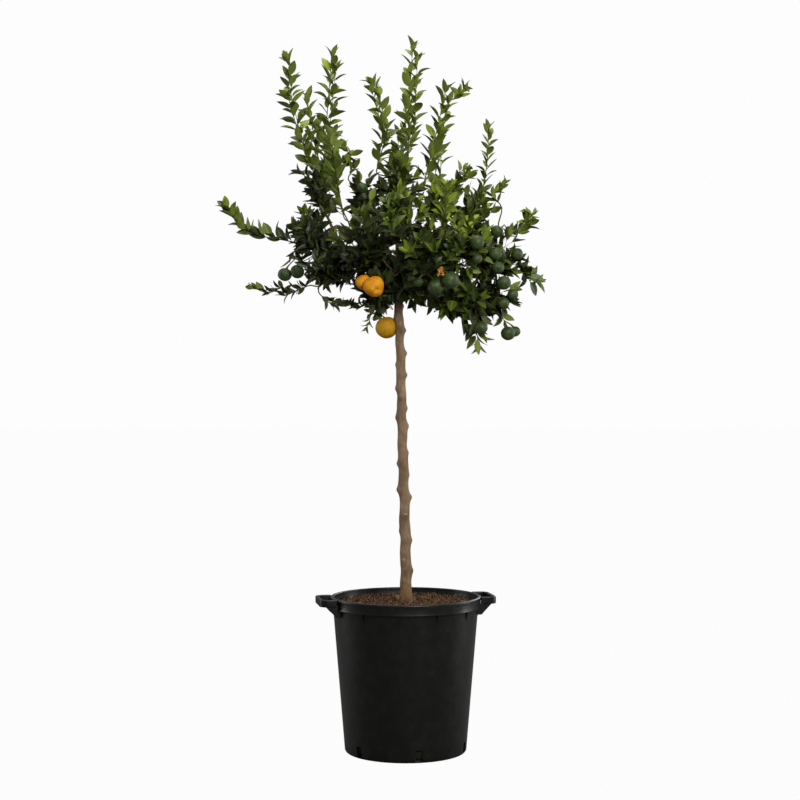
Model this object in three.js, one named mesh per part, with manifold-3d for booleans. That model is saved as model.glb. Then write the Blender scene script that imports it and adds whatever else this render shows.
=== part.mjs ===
// A young citrus standard in a round nursery pot: one straight stem, a loose crown of small leaves with
// long upright shoots, and a black moulded pot with a lug handle on each side.
// Millimetres, +Z up, origin at the centre of the pot's underside. +X is the plant's right, -Y its front.
import * as THREE from "three";
import { mergeVertices } from "three/addons/utils/BufferGeometryUtils.js";
import Module from "manifold-3d";

const wasm = await Module();
wasm.setup();

// Pot
const POT_HEIGHT = 388;
const POT_BASE_RADIUS = 152;
const POT_NECK_RADIUS = 181; // body radius just under the rim band
const RIM_RADIUS = 188;
const RIM_BAND = 28; // height of the rim band
const RIM_WALL = 9;
const LIP_ROUND = 3;
const POT_WALL = 4;
const POT_FLOOR = 5;
const FOOT_ROUND = 8;
const POT_SIDES = 40;
const RIB_COUNT = 12; // short gussets under the rim band
const RIB_FIRST = -35; // degrees
const RIB_HEIGHT = 20;
const RIB_REACH = 8;
const RIB_THICKNESS = 4;
const SLOT_COUNT = 6; // drainage slots through the lower wall
const SLOT_FIRST = -78; // degrees
const SLOT_WIDTH = 17;
const SLOT_HEIGHT = 28;
const SLOT_SILL = 3;
const SLOT_DEPTH = 20; // radial length of the cut

// Lug handles
const HANDLE_TURN = 10; // degrees the handle line is turned from the X axis
const HANDLE_REACH = 222; // from the pot's axis to the outside of the grip
const HANDLE_WIDTH = 116;
const HANDLE_BAR = 9;
const HANDLE_DEPTH = 18; // height of the grip
const HANDLE_TOP = POT_HEIGHT;
const HANDLE_CORNER = 20;
const GUSSET_DROP = 26;
const GUSSET_FOOT = 10; // width of the gusset's flat lower end outside the wall
const GUSSET_ROOT = 20; // how far the uncut gusset runs into the pot
const GUSSET_THICKNESS = 6;

// Root ball and trunk
const SOIL_TOP = 370;
const FORK_HEIGHT = 1176;
const TRUNK_SIDES = 10;
const TRUNK_STEP = 26; // height of one ring of the trunk
const TRUNK_FOOT_RADIUS = 14.2;
const TRUNK_TOP_RADIUS = 10;
const FLARE = 2.6; // extra radius at the very foot
const FLARE_HEIGHT = 26;
const LEAN = -21; // sideways drift of the stem between foot and fork
const LEAN_POWER = 1.6; // the drift gathers towards the fork
const LEAN_BACK = 3; // drift away from the front
const WAVES = 3; // half waves of the stem's gentle wander
const WAVE_BACK = 1.5;
const KNOT_FIRST = 447; // lowest pruning knot
const KNOT_SPACING = 44;
const KNOT_SWELL = 3;
const KNOT_HEIGHT = 13;

const GAP = 0.3; // clearance between neighbouring solids
const JOIN = 1; // how far one moulded form runs into the next
const MASS_DETAIL = 2;
const SHOOT_SIDES = 6;
const BOUGH_SIDES = 7;
const BOUGH_STEPS = 5;
const BOUGH_OUT = 0.3; // where a bough's bend lies between fork and tip: sideways and upwards
const BOUGH_UP = 0.7;
const BOUGH_TAPER = 0.4;
const BOUGH_SINK = 12; // how far below the fork the boughs start

const BLACK_PLASTIC = new THREE.MeshStandardMaterial({ color: 0x1f1f1d, roughness: 0.45, metalness: 0 });
const BARK_MULCH = new THREE.MeshStandardMaterial({ color: 0x4f3e2e, roughness: 0.95, metalness: 0 });
const BARK = new THREE.MeshStandardMaterial({ color: 0x7a6353, roughness: 0.85, metalness: 0 });
const OLD_LEAVES = new THREE.MeshStandardMaterial({ color: 0x2a3a18, roughness: 0.6, metalness: 0 });
const YOUNG_LEAVES = new THREE.MeshStandardMaterial({ color: 0x64752c, roughness: 0.6, metalness: 0 });

// Leaf masses of the crown: name, centre (x, y, z) and half sizes (x, y, z).
const LEAF_MASSES = [
  ["mass_left_upper", [-226, -5, 1412], [43, 55, 80]],
  ["mass_left_middle", [-228, -5, 1292], [64, 80, 66]],
  ["mass_left_lower", [-196, -30, 1206], [62, 78, 50]],
  ["mass_left_inner_upper", [-106, 5, 1382], [40, 58, 74]],
  ["mass_left_front", [-108, -122, 1260], [78, 72, 76]],
  ["mass_left_back", [-118, 130, 1268], [82, 76, 74]],
  ["mass_top_middle", [-12, 20, 1410], [52, 58, 76]],
  ["mass_top_right", [90, -12, 1372], [54, 66, 50]],
  ["mass_front_upper", [-16, -152, 1326], [74, 56, 48]],
  ["mass_front_lower", [46, -150, 1240], [78, 60, 68]],
  ["mass_back_upper", [0, 154, 1334], [80, 60, 52]],
  ["mass_back_lower", [40, 160, 1242], [82, 64, 66]],
  ["mass_right_upper", [168, 8, 1336], [58, 72, 62]],
  ["mass_right_front", [152, -112, 1254], [68, 66, 68]],
  ["mass_right_back", [154, 124, 1260], [72, 72, 68]],
  ["mass_right_middle", [226, -6, 1242], [62, 76, 68]],
  ["mass_right_lower", [182, -30, 1138], [100, 82, 54]],
  ["mass_stem_left", [-80, 36, 1134], [52, 52, 54]],
  ["mass_stem_right", [66, 50, 1156], [62, 60, 46]],
  ["mass_stem_front", [-46, -88, 1176], [72, 46, 42]],
];

// Young shoots, each a slender mass: name, foot, tip, bow of its middle (x, y, z) and half width.
const SHOOTS = [
  ["shoot_left_tall", [-224, -20, 1444], [-298, -45, 1742], [-20, 0, 0], 35],
  ["shoot_left_short", [-214, 35, 1474], [-247, 60, 1659], [-8, 0, 0], 27],
  ["shoot_left_inner", [-204, 5, 1454], [-180, 0, 1761], [-2, 0, 0], 36],
  ["shoot_left_side", [-142, 0, 1424], [-150, -14, 1516], [12, 0, 0], 26],
  ["shoot_top_left", [-34, 15, 1444], [-88, 5, 1692], [10, 0, 0], 33],
  ["shoot_top_middle", [8, 30, 1434], [20, 35, 1786], [-4, 0, 0], 33],
  ["shoot_top_right", [42, -10, 1404], [104, -30, 1668], [2, 0, 0], 30],
  ["shoot_top_side", [112, -28, 1616], [152, -40, 1659], [4, 0, -4], 14],
  ["shoot_right_slender", [186, 10, 1374], [206, 20, 1578], [8, 0, 0], 23],
  ["shoot_right_short", [122, -30, 1396], [148, -45, 1456], [0, 0, 0], 22],
  ["shoot_right_upper", [196, -20, 1360], [250, -30, 1420], [0, 0, -6], 20],
  ["shoot_right_arching", [252, -20, 1266], [320, -60, 1352], [4, 0, -8], 25],
  ["shoot_right_outer", [258, 10, 1210], [338, 30, 1158], [6, 0, 10], 33],
  ["shoot_left_arching", [-262, -20, 1278], [-464, -60, 1372], [-16, 0, -34], 24],
  ["shoot_left_hanging", [-262, -10, 1266], [-300, -24, 1176], [-4, 0, 0], 25],
  ["shoot_left_whip", [-232, -60, 1162], [-392, -110, 1154], [0, 0, -20], 16],
  ["shoot_low_whip", [-120, -20, 1116], [-214, -50, 1134], [-4, 0, -14], 15],
  ["shoot_low_left", [-66, 34, 1096], [-46, 24, 1026], [2, 0, 0], 28],
  ["shoot_low_right", [168, -30, 1104], [180, -40, 1008], [0, 0, 0], 34],
  ["shoot_low_outer", [234, -20, 1112], [262, -30, 1020], [-2, 0, 0], 23],
  ["shoot_back_left", [-150, 150, 1334], [-196, 226, 1604], [-16, 22, 0], 34],
  ["shoot_back_middle", [-20, 150, 1374], [4, 206, 1664], [0, 20, 0], 34],
  ["shoot_back_right", [80, 140, 1354], [92, 214, 1594], [6, 20, 0], 32],
  ["shoot_back_arching", [20, 200, 1284], [30, 352, 1396], [0, 20, -34], 26],
  ["shoot_front_left", [-150, -130, 1334], [-178, -206, 1524], [-6, -20, 0], 32],
  ["shoot_front_right", [84, -150, 1290], [98, -224, 1398], [6, -16, 0], 30],
  ["shoot_front_arching", [-20, -190, 1274], [-44, -330, 1334], [0, -16, -26], 25],
  ["shoot_back_low", [90, 190, 1204], [120, 310, 1164], [0, 12, 14], 26],
];

// Main boughs: name, tip and radius at the fork. Each rises from the fork and swings out to its mass.
const BOUGHS = [
  ["bough_leader", [-14, 18, 1404], 8],
  ["bough_left", [-222, -5, 1324], 8],
  ["bough_right", [200, 4, 1274], 8],
  ["bough_front_left", [-108, -116, 1274], 7],
  ["bough_front_right", [124, -112, 1274], 7],
  ["bough_back_left", [-112, 126, 1284], 7],
  ["bough_back_right", [110, 126, 1284], 7],
];

const radians = THREE.MathUtils.degToRad;

// A closed three.js geometry as a manifold solid.
function solidOf(geometry) {
  const bare = geometry.clone();
  bare.deleteAttribute("normal");
  bare.deleteAttribute("uv");
  const merged = mergeVertices(bare, 1e-3);
  const vertProperties = merged.attributes.position.array;
  const triVerts = new Uint32Array(merged.index.array);
  return new wasm.Manifold(new wasm.Mesh({ numProp: 3, vertProperties, triVerts }));
}

// A manifold solid as a named three.js mesh.
function meshOf(name, solid, material) {
  const { vertProperties, triVerts } = solid.getMesh();
  const geometry = new THREE.BufferGeometry();
  geometry.setAttribute("position", new THREE.BufferAttribute(vertProperties, 3));
  geometry.setIndex(new THREE.BufferAttribute(triVerts, 1));
  const mesh = new THREE.Mesh(geometry, material);
  mesh.name = name;
  return mesh;
}

// A solid turned from a closed profile of [radius, height] pairs, standing along Z.
function turned(profile, sides) {
  const points = profile.map(([radius, height]) => new THREE.Vector2(radius, height));
  return new THREE.LatheGeometry(points, sides).rotateX(Math.PI / 2);
}

// Moves every vertex of a geometry by a function of its position.
function reshape(geometry, move) {
  const place = geometry.attributes.position;
  const point = new THREE.Vector3();
  for (let i = 0; i < place.count; i++) {
    point.fromBufferAttribute(place, i);
    move(point);
    place.setXYZ(i, point.x, point.y, point.z);
  }
  return geometry;
}

// Lays a round bar of unit height, standing on the origin, along a curve.
function bentAlong(geometry, curve) {
  const chord = curve.getPoint(1).sub(curve.getPoint(0)).normalize();
  const level = Math.abs(chord.y) < 0.6 ? new THREE.Vector3(0, 1, 0) : new THREE.Vector3(1, 0, 0);
  return reshape(geometry, (point) => {
    const t = THREE.MathUtils.clamp(point.z, 0, 1);
    const forward = curve.getTangent(t);
    const side = level.clone().addScaledVector(forward, -forward.dot(level)).normalize();
    const across = new THREE.Vector3().crossVectors(side, forward);
    const { x, y } = point;
    point.copy(curve.getPoint(t)).addScaledVector(across, x).addScaledVector(side, y);
  });
}

// Keeps one body of a cut solid: the one that scores highest.
function bestBody(solid, score) {
  return solid.decompose().sort((a, b) => score(b) - score(a))[0];
}

// The pot's shell: body, rounded foot, rim band with a rounded lip, gussets and drainage slots.
function potBody() {
  const bandFoot = POT_HEIGHT - RIM_BAND;
  const innerRim = RIM_RADIUS - RIM_WALL;
  const innerFoot = POT_BASE_RADIUS - POT_WALL;
  let pot = solidOf(turned([
    [0, 0],
    [POT_BASE_RADIUS - FOOT_ROUND, 0],
    [POT_BASE_RADIUS - FOOT_ROUND * 0.3, FOOT_ROUND * 0.3],
    [POT_BASE_RADIUS, FOOT_ROUND],
    [POT_NECK_RADIUS, bandFoot],
    [RIM_RADIUS - LIP_ROUND, bandFoot],
    [RIM_RADIUS, bandFoot + LIP_ROUND],
    [RIM_RADIUS, POT_HEIGHT - LIP_ROUND],
    [RIM_RADIUS - LIP_ROUND, POT_HEIGHT],
    [innerRim + LIP_ROUND, POT_HEIGHT],
    [innerRim, POT_HEIGHT - LIP_ROUND],
    [innerRim, SOIL_TOP + LIP_ROUND],
    [POT_NECK_RADIUS - POT_WALL, bandFoot],
    [innerFoot, POT_FLOOR + FOOT_ROUND],
    [innerFoot - FOOT_ROUND, POT_FLOOR],
    [0, POT_FLOOR],
    [0, 0],
  ], POT_SIDES));
  const triangle = new THREE.Shape([
    new THREE.Vector2(0, 0),
    new THREE.Vector2(RIB_REACH, RIB_HEIGHT),
    new THREE.Vector2(RIB_REACH, RIB_HEIGHT + JOIN),
    new THREE.Vector2(0, RIB_HEIGHT + JOIN),
  ]);
  for (let i = 0; i < RIB_COUNT; i++) {
    const rib = new THREE.ExtrudeGeometry(triangle, { depth: RIB_THICKNESS, bevelEnabled: false })
      .translate(POT_NECK_RADIUS - POT_WALL + JOIN, 0, -RIB_THICKNESS / 2)
      .rotateX(Math.PI / 2)
      .rotateZ(radians(RIB_FIRST + (i * 360) / RIB_COUNT))
      .translate(0, 0, bandFoot - RIB_HEIGHT);
    pot = pot.add(solidOf(rib));
  }
  for (let i = 0; i < SLOT_COUNT; i++) {
    const slot = new THREE.BoxGeometry(SLOT_DEPTH, SLOT_WIDTH, SLOT_HEIGHT)
      .translate(POT_BASE_RADIUS, 0, SLOT_SILL + SLOT_HEIGHT / 2)
      .rotateZ(radians(SLOT_FIRST + (i * 360) / SLOT_COUNT));
    pot = pot.subtract(solidOf(slot));
  }
  return pot;
}

// One lug handle along +X: a flat U-shaped grip with a diagonal gusset under each end, clear of the pot.
function handle(turn) {
  const half = HANDLE_WIDTH / 2;
  const root = RIM_RADIUS - RIM_WALL;
  const inner = HANDLE_REACH - HANDLE_BAR;
  const gussetInset = half ** 2 / (2 * POT_NECK_RADIUS); // the round wall falls back this far at the gussets
  const outline = new THREE.Shape();
  outline.moveTo(root, -half);
  outline.lineTo(HANDLE_REACH - HANDLE_CORNER, -half);
  outline.absarc(HANDLE_REACH - HANDLE_CORNER, HANDLE_CORNER - half, HANDLE_CORNER, -Math.PI / 2, 0);
  outline.absarc(HANDLE_REACH - HANDLE_CORNER, half - HANDLE_CORNER, HANDLE_CORNER, 0, Math.PI / 2);
  outline.lineTo(root, half);
  outline.lineTo(root, half - HANDLE_BAR);
  const round = HANDLE_CORNER - HANDLE_BAR;
  outline.absarc(inner - round, half - HANDLE_BAR - round, round, Math.PI / 2, 0, true);
  outline.absarc(inner - round, HANDLE_BAR + round - half, round, 0, -Math.PI / 2, true);
  outline.lineTo(root, HANDLE_BAR - half);
  const gusset = new THREE.Shape([
    new THREE.Vector2(root - GUSSET_ROOT, -GUSSET_DROP),
    new THREE.Vector2(POT_NECK_RADIUS + GUSSET_FOOT - gussetInset, -GUSSET_DROP),
    new THREE.Vector2(HANDLE_REACH - HANDLE_CORNER, 0),
    new THREE.Vector2(HANDLE_REACH - HANDLE_CORNER, JOIN),
    new THREE.Vector2(root - GUSSET_ROOT, JOIN),
  ]);
  const foot = HANDLE_TOP - HANDLE_DEPTH;
  const grip = new THREE.ExtrudeGeometry(outline, {
    depth: HANDLE_DEPTH, bevelEnabled: false, curveSegments: 5,
  });
  let made = solidOf(grip.translate(0, 0, foot));
  for (const side of [-half, half - GUSSET_THICKNESS]) {
    const plate = new THREE.ExtrudeGeometry(gusset, { depth: GUSSET_THICKNESS, bevelEnabled: false })
      .rotateX(Math.PI / 2)
      .translate(0, side + GUSSET_THICKNESS, foot);
    made = made.add(solidOf(plate));
  }
  return made.rotate([0, 0, turn]);
}

// A plain solid of the pot's outside, GAP larger, that the handles are cut back to.
function potClearance() {
  return solidOf(turned([
    [0, 0],
    [POT_BASE_RADIUS + GAP, 0],
    [POT_BASE_RADIUS + GAP, FOOT_ROUND],
    [POT_NECK_RADIUS + GAP, POT_HEIGHT - RIM_BAND - GAP],
    [RIM_RADIUS + GAP, POT_HEIGHT - RIM_BAND - GAP],
    [RIM_RADIUS + GAP, POT_HEIGHT + GAP],
    [0, POT_HEIGHT + GAP],
    [0, 0],
  ], POT_SIDES));
}

// Compost and bark mulch filling the pot to just under the rim, with a level top.
function rootBall() {
  const innerFoot = POT_BASE_RADIUS - POT_WALL - GAP;
  return solidOf(turned([
    [0, POT_FLOOR + GAP],
    [innerFoot - FOOT_ROUND, POT_FLOOR + GAP],
    [innerFoot, POT_FLOOR + GAP + FOOT_ROUND],
    [POT_NECK_RADIUS - POT_WALL - GAP, POT_HEIGHT - RIM_BAND],
    [RIM_RADIUS - RIM_WALL - 2, SOIL_TOP],
    [0, SOIL_TOP],
    [0, POT_FLOOR + GAP],
  ], POT_SIDES));
}

// Centre line of the stem at a height: a slight lean with a gentle wave.
function stemCentre(height) {
  const t = (height - SOIL_TOP) / (FORK_HEIGHT - SOIL_TOP);
  const wave = Math.sin(t * Math.PI * WAVES);
  return new THREE.Vector2(LEAN * t ** LEAN_POWER + wave, LEAN_BACK * t + WAVE_BACK * wave);
}

// The stem from the soil to the fork, with a flared foot and a swelling at each old pruning cut.
function trunk(grow) {
  const foot = SOIL_TOP + GAP;
  const rings = Math.round((FORK_HEIGHT - foot) / TRUNK_STEP);
  const profile = [[0, foot - grow]];
  for (let i = 0; i <= rings; i++) {
    const t = i / rings;
    const height = THREE.MathUtils.lerp(foot - grow, FORK_HEIGHT + grow, t);
    const flare = FLARE * Math.exp(-(height - foot) / FLARE_HEIGHT);
    profile.push([THREE.MathUtils.lerp(TRUNK_FOOT_RADIUS, TRUNK_TOP_RADIUS, t) + flare + grow, height]);
  }
  profile.push([0, FORK_HEIGHT + grow]);
  const straight = turned(profile, TRUNK_SIDES);
  return solidOf(reshape(straight, (point) => {
    const knot = Math.round((point.z - KNOT_FIRST) / KNOT_SPACING);
    const off = point.z - KNOT_FIRST - knot * KNOT_SPACING;
    const side = knot % 2 ? -1 : 1;
    const radius = Math.hypot(point.x, point.y);
    if (radius > 1 && knot >= 0 && point.z < FORK_HEIGHT - KNOT_SPACING) {
      const facing = Math.max(0, (point.x * side) / radius) ** 2;
      point.x += side * KNOT_SWELL * facing * Math.exp(-((off / KNOT_HEIGHT) ** 2));
    }
    const centre = stemCentre(point.z);
    point.x += centre.x;
    point.y += centre.y;
  }));
}

// One rounded, lumpy mass of leaves.
function leafMass([, centre, half], index, grow) {
  const ball = new THREE.IcosahedronGeometry(1, MASS_DETAIL);
  return solidOf(reshape(ball, (point) => {
    const lump = 1
      + 0.1 * Math.sin(3.1 * point.x + 1.7 * index)
      + 0.08 * Math.sin(4.3 * point.y + 2.9 * index)
      + 0.07 * Math.sin(5.1 * point.z + 0.6 * index);
    point.set(
      centre[0] + point.x * (half[0] * lump + grow),
      centre[1] + point.y * (half[1] * lump + grow),
      centre[2] + point.z * (half[2] * lump + grow),
    );
  }));
}

// One slender leafy shoot: narrow at its foot, widest past the middle, blunt at its tip.
function shootMass([, foot, tip, bow, width], index, grow) {
  const start = new THREE.Vector3(...foot);
  const end = new THREE.Vector3(...tip);
  const middle = start.clone().add(end).multiplyScalar(0.5).add(new THREE.Vector3(...bow));
  const control = middle.multiplyScalar(2).sub(start.clone().add(end).multiplyScalar(0.5));
  const curve = new THREE.QuadraticBezierCurve3(start, control, end);
  const stations = [[0.02, 0.6], [0.2, 0.86], [0.42, 0.96], [0.64, 0.94], [0.84, 0.78], [0.97, 0.42]];
  const profile = [[0, 0]];
  stations.forEach(([along, share], i) => {
    const uneven = 1 + 0.08 * Math.sin(2.1 * i + index);
    profile.push([width * share * uneven + grow, along]);
  });
  profile.push([0, 1]);
  return solidOf(bentAlong(turned(profile, SHOOT_SIDES), curve));
}

// One tapering bough from the fork to the middle of its mass.
function bough([, tip, radius], grow) {
  const centre = stemCentre(FORK_HEIGHT);
  const end = new THREE.Vector3(...tip);
  const start = new THREE.Vector3(centre.x, centre.y, FORK_HEIGHT - BOUGH_SINK);
  const control = new THREE.Vector3(
    THREE.MathUtils.lerp(start.x, end.x, BOUGH_OUT),
    THREE.MathUtils.lerp(start.y, end.y, BOUGH_OUT),
    THREE.MathUtils.lerp(start.z, end.z, BOUGH_UP),
  );
  const curve = new THREE.QuadraticBezierCurve3(start, control, end);
  const profile = [[0, 0]];
  for (let i = 0; i <= BOUGH_STEPS; i++) {
    const t = 0.01 + (0.98 * i) / BOUGH_STEPS;
    profile.push([radius * (1 - BOUGH_TAPER * t) + grow, t]);
  }
  profile.push([0, 1]);
  return solidOf(bentAlong(turned(profile, BOUGH_SIDES), curve));
}

const group = new THREE.Group();
const pot = potBody();
group.add(meshOf("pot", pot, BLACK_PLASTIC));
const clearance = potClearance();
for (const [name, turn] of [["handle_right", HANDLE_TURN], ["handle_left", HANDLE_TURN + 180]]) {
  group.add(meshOf(name, bestBody(handle(turn).subtract(clearance), (body) => body.volume()), BLACK_PLASTIC));
}
group.add(meshOf("root_ball", rootBall(), BARK_MULCH));
group.add(meshOf("trunk", trunk(0), BARK));

// Foliage is cut round the stem and each mass round the ones before it; the boughs stop at the masses.
let taken = trunk(GAP);
const forkCentre = stemCentre(FORK_HEIGHT);

function nearFork(body) {
  const { min, max } = body.boundingBox();
  const middle = [0, 1, 2].map((axis) => (min[axis] + max[axis]) / 2);
  return -Math.hypot(middle[0] - forkCentre.x, middle[1] - forkCentre.y, middle[2] - FORK_HEIGHT);
}

LEAF_MASSES.forEach((row, index) => {
  const body = bestBody(leafMass(row, index, 0).subtract(taken), (piece) => piece.volume());
  group.add(meshOf(row[0], body, OLD_LEAVES));
  taken = taken.add(leafMass(row, index, GAP));
});
SHOOTS.forEach((row, index) => {
  const body = bestBody(shootMass(row, index, 0).subtract(taken), (piece) => piece.volume());
  group.add(meshOf(row[0], body, YOUNG_LEAVES));
  taken = taken.add(shootMass(row, index, GAP));
});
BOUGHS.forEach((row) => {
  const body = bestBody(bough(row, 0).subtract(taken), nearFork);
  group.add(meshOf(row[0], body, BARK));
  taken = taken.add(bough(row, GAP));
});

export default group;
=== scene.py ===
"""Looks of a young citrus standard in a black nursery pot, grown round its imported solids."""
import math
import random

import bpy
import numpy as np
from mathutils import Matrix, Vector, noise
from mathutils.bvhtree import BVHTree


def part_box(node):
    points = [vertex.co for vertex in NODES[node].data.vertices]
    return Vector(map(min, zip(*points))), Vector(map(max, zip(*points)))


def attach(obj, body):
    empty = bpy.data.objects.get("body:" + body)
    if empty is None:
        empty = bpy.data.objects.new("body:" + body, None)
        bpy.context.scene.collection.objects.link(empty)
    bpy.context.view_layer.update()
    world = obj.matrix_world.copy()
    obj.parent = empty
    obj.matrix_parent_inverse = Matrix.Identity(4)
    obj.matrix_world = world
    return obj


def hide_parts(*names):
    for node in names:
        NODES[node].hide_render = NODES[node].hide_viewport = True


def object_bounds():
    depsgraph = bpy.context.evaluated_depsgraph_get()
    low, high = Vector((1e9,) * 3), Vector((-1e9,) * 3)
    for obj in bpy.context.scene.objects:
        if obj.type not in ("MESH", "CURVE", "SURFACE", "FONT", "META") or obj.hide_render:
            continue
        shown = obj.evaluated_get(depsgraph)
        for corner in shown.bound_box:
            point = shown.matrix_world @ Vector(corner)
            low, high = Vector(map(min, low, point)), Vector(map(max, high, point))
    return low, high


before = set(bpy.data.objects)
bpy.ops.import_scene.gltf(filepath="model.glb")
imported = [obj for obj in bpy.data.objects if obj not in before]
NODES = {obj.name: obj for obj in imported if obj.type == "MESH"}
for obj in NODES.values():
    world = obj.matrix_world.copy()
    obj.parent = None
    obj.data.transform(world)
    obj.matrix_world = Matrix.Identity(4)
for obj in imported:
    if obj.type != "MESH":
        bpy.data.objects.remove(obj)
solid_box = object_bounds()
MM = 0.001
rng = random.Random(41)

# ---------------------------------------------------------------- places taken from the solids
TRUNK_LOW, TRUNK_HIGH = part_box("trunk")
RIM_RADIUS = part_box("pot")[1].x
POT_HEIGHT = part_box("pot")[1].z
SOIL_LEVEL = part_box("root_ball")[1].z
HANDLE_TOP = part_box("handle_right")[1].z
SHOOT_NAMES = sorted(n for n in NODES if n.startswith("shoot_"))
MASS_NAMES = sorted(n for n in NODES if n.startswith("mass_"))
BOUGH_NAMES = sorted(n for n in NODES if n.startswith("bough_"))
VIEW_FROM = Vector((-14, -4320, 922)) * MM  # where the plant is looked at from
VIEW_DOWN = math.radians(0.6)

# ---------------------------------------------------------------- real sizes
LEAF_LENGTH = 50 * MM
LEAF_WIDTH = 22.5 * MM
MIDRIB_WIDTH = 1.1 * MM
LEAF_THICKNESS = 0.35 * MM
INTERNODE = 9.5 * MM  # from one leaf of a spray to the next
LEAF_TURN = math.radians(144)  # a citrus sets its leaves two turns to every five
SPRAY_LENGTH = 92 * MM
SPRAY_SPACING = 50 * MM  # from spray to spray over a mass's skin
TWIG_RADIUS = 1.15 * MM
PIPE_POWER = 2.5  # how fast wood thickens where twigs join
BARK_STEP = 3 * MM  # from ring to ring up the stem's mesh


def linear(hex_colour):
    """sRGB hex to the linear colour that a shader takes."""
    parts = [int(hex_colour[i:i + 2], 16) / 255 for i in (0, 2, 4)]
    return [p / 12.92 if p <= 0.04045 else ((p + 0.055) / 1.055) ** 2.4 for p in parts] + [1.0]


# ---------------------------------------------------------------- finishes
def put(tree, kind, links=None, **settings):
    """Adds one shader node with its settings, and its sockets' values or links."""
    made = tree.nodes.new(kind)
    for name, value in settings.items():
        setattr(made, name, value)
    for socket, value in (links or {}).items():
        if isinstance(value, bpy.types.NodeSocket):
            tree.links.new(value, made.inputs[socket])
        else:
            made.inputs[socket].default_value = value
    return made


def tints(tree, pattern, *stops):
    """Colours dealt out along a pattern's value, each stop a place from 0 to 1 and a hex colour."""
    ramp = put(tree, "ShaderNodeValToRGB", {"Fac": pattern})
    colours = ramp.color_ramp.elements
    for k, (place, colour) in enumerate(stops):
        stop = colours[k] if k < 2 else colours.new(place)
        stop.position = place
        stop.color = linear(colour)
    return ramp.outputs["Color"]


def relief_on(tree, shader, height, distance, strength):
    """Fine relief from a pattern, too small to be cut in the mesh."""
    bump = put(tree, "ShaderNodeBump", {"Height": height, "Distance": distance, "Strength": strength})
    tree.links.new(bump.outputs["Normal"], shader.inputs["Normal"])


def new_finish(name, colour, roughness, ior=1.45):
    """A material with one plain shader, to which a pattern may be linked."""
    material = bpy.data.materials.new(name)
    material.use_nodes = True
    shader = material.node_tree.nodes["Principled BSDF"]
    shader.inputs["Base Color"].default_value = linear(colour)
    shader.inputs["Roughness"].default_value = roughness
    shader.inputs["IOR"].default_value = ior
    return material, material.node_tree, shader


def waxy_leaf(name, colour, roughness):
    """Citrus leaf, grown: a thin wax bloom over green lays a soft, broad gloss on each half of the blade."""
    return new_finish(name, colour, roughness, ior=1.36)[0]


def bark_finish(name, light, dark, fleck, flake_mm):
    """Living bark, grown: dull grey-brown in long upright streaks with paler flecks, split finely."""
    material, tree, shader = new_finish(name, light, 0.86, ior=1.45)
    place = put(tree, "ShaderNodeTexCoord").outputs["Object"]
    # flake_mm is the width of one bark streak; a streak is six times as long as it is wide
    stretched = put(tree, "ShaderNodeMapping", {"Vector": place, "Scale": (1, 1, 0.16)}).outputs["Vector"]
    streaks = put(tree, "ShaderNodeTexNoise", {
        "Vector": stretched, "Scale": 1 / (flake_mm * MM), "Detail": 5, "Roughness": 0.62}).outputs["Fac"]
    patches = put(tree, "ShaderNodeTexNoise", {
        "Vector": place, "Scale": 1 / (34 * MM), "Detail": 3}).outputs["Fac"]
    mixed = put(tree, "ShaderNodeMath", {0: streaks, 1: patches}, operation="ADD").outputs[0]
    half = put(tree, "ShaderNodeMath", {0: mixed, 1: 0.5}, operation="MULTIPLY").outputs[0]
    tree.links.new(tints(tree, half, (0.36, dark), (0.6, light), (0.7, fleck)), shader.inputs["Base Color"])
    relief_on(tree, shader, streaks, 0.8 * MM, 0.7)
    return material


def moulded_polypropylene():
    """Black polypropylene, injection moulded: near black, with a fine satin grain and faint grey scuffs."""
    material, tree, shader = new_finish("moulded_polypropylene", "0b0b0a", 0.36, ior=1.42)
    place = put(tree, "ShaderNodeTexCoord").outputs["Object"]
    scuffs = put(tree, "ShaderNodeTexNoise", {
        "Vector": place, "Scale": 1 / (28 * MM), "Detail": 8, "Roughness": 0.7}).outputs["Fac"]
    tree.links.new(tints(tree, scuffs, (0.45, "090908"), (0.78, "151512")), shader.inputs["Base Color"])
    dull = put(tree, "ShaderNodeMapRange", {
        "Value": scuffs, "From Min": 0.3, "From Max": 0.75, "To Min": 0.31, "To Max": 0.43}).outputs["Result"]
    tree.links.new(dull, shader.inputs["Roughness"])
    # the mould's spark grain is 0.15 mm across; drawn at 1.2 mm so that it still shows
    grain = put(tree, "ShaderNodeTexNoise", {
        "Vector": place, "Scale": 1 / (1.2 * MM), "Detail": 2}).outputs["Fac"]
    relief_on(tree, shader, grain, 0.1 * MM, 0.25)
    return material


def rind_finish(name, body, shade, blush, gloss):
    """Citrus rind, grown: oily skin with small pores, blotched in three tints, and a soft round highlight."""
    material, tree, shader = new_finish(name, body, gloss, ior=1.38)
    place = put(tree, "ShaderNodeTexCoord").outputs["Object"]
    # rind blotches run about 10 mm across
    blotch = put(tree, "ShaderNodeTexNoise", {
        "Vector": place, "Scale": 1 / (10 * MM), "Detail": 6, "Roughness": 0.68}).outputs["Fac"]
    mottle = tints(tree, blotch, (0.32, shade), (0.52, body), (0.68, blush))
    tree.links.new(mottle, shader.inputs["Base Color"])
    # oil pores are 0.8 mm apart; drawn at 2.4 mm so that they still show
    pores = put(tree, "ShaderNodeTexVoronoi", {"Vector": place, "Scale": 1 / (2.4 * MM)}).outputs["Distance"]
    relief_on(tree, shader, pores, 0.45 * MM, 0.6)
    return material


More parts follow.
